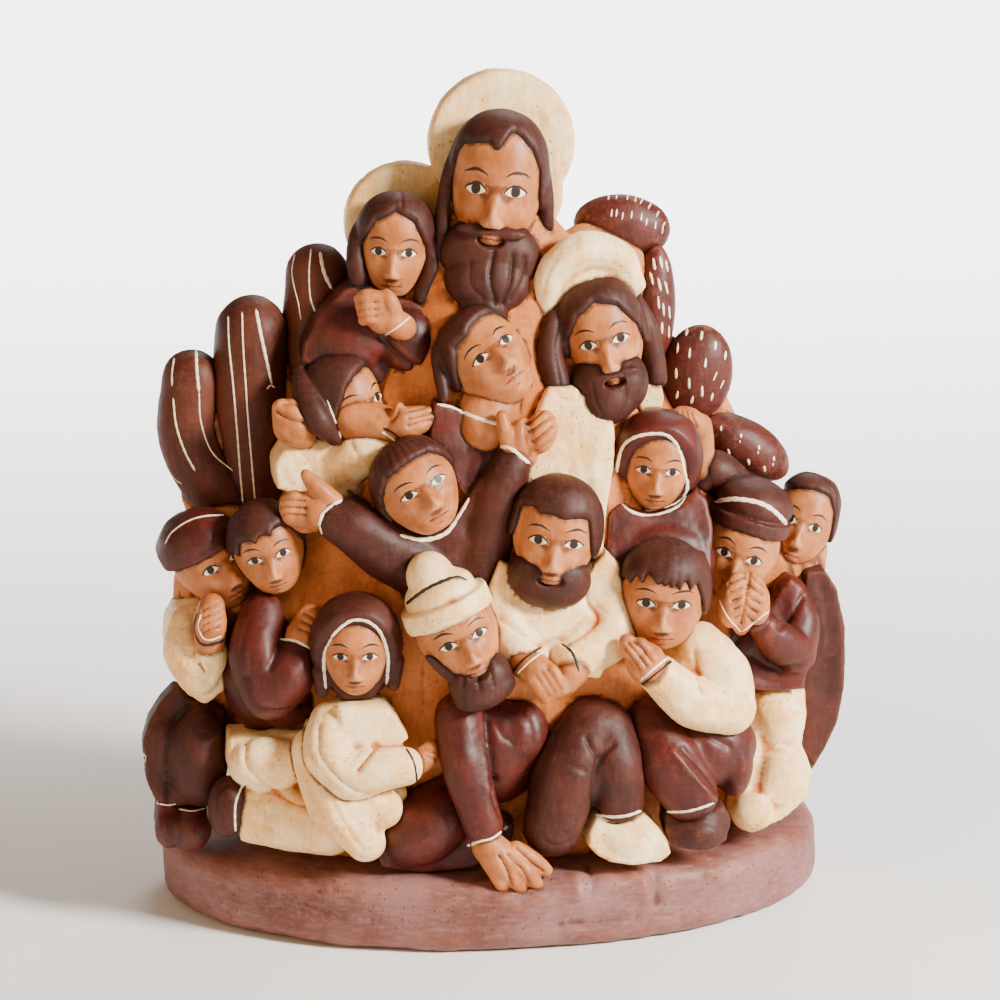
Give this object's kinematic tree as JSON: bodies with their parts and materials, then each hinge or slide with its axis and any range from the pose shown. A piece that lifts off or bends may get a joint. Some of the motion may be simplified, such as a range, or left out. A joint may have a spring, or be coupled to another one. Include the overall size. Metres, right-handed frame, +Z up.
{
  "type": "clay storyteller figurine",
  "caption": "Hand-modelled painted clay figurine: people piled against a cone of clay on a low rounded slab, cacti behind, resting on its flat underside.",
  "frame": {"origin": "middle of the underside, below the middle of the figurine's outer box", "axes": "+Z up, -Y towards the viewer (the side the figures face), +X to the viewer's right"},
  "size_m": [0.2944, 0.1406, 0.337],
  "materials": {
    "fired_clay": "matte",
    "ochre_slip": "satin",
    "dark_brown_slip": "satin",
    "maroon_slip": "burnished",
    "cream_slip": "satin",
    "mauve_slip": "matte"
  },
  "bodies": {
    "root": {"storyteller_figurine": "fired_clay"}
  },
  "joints": []
}
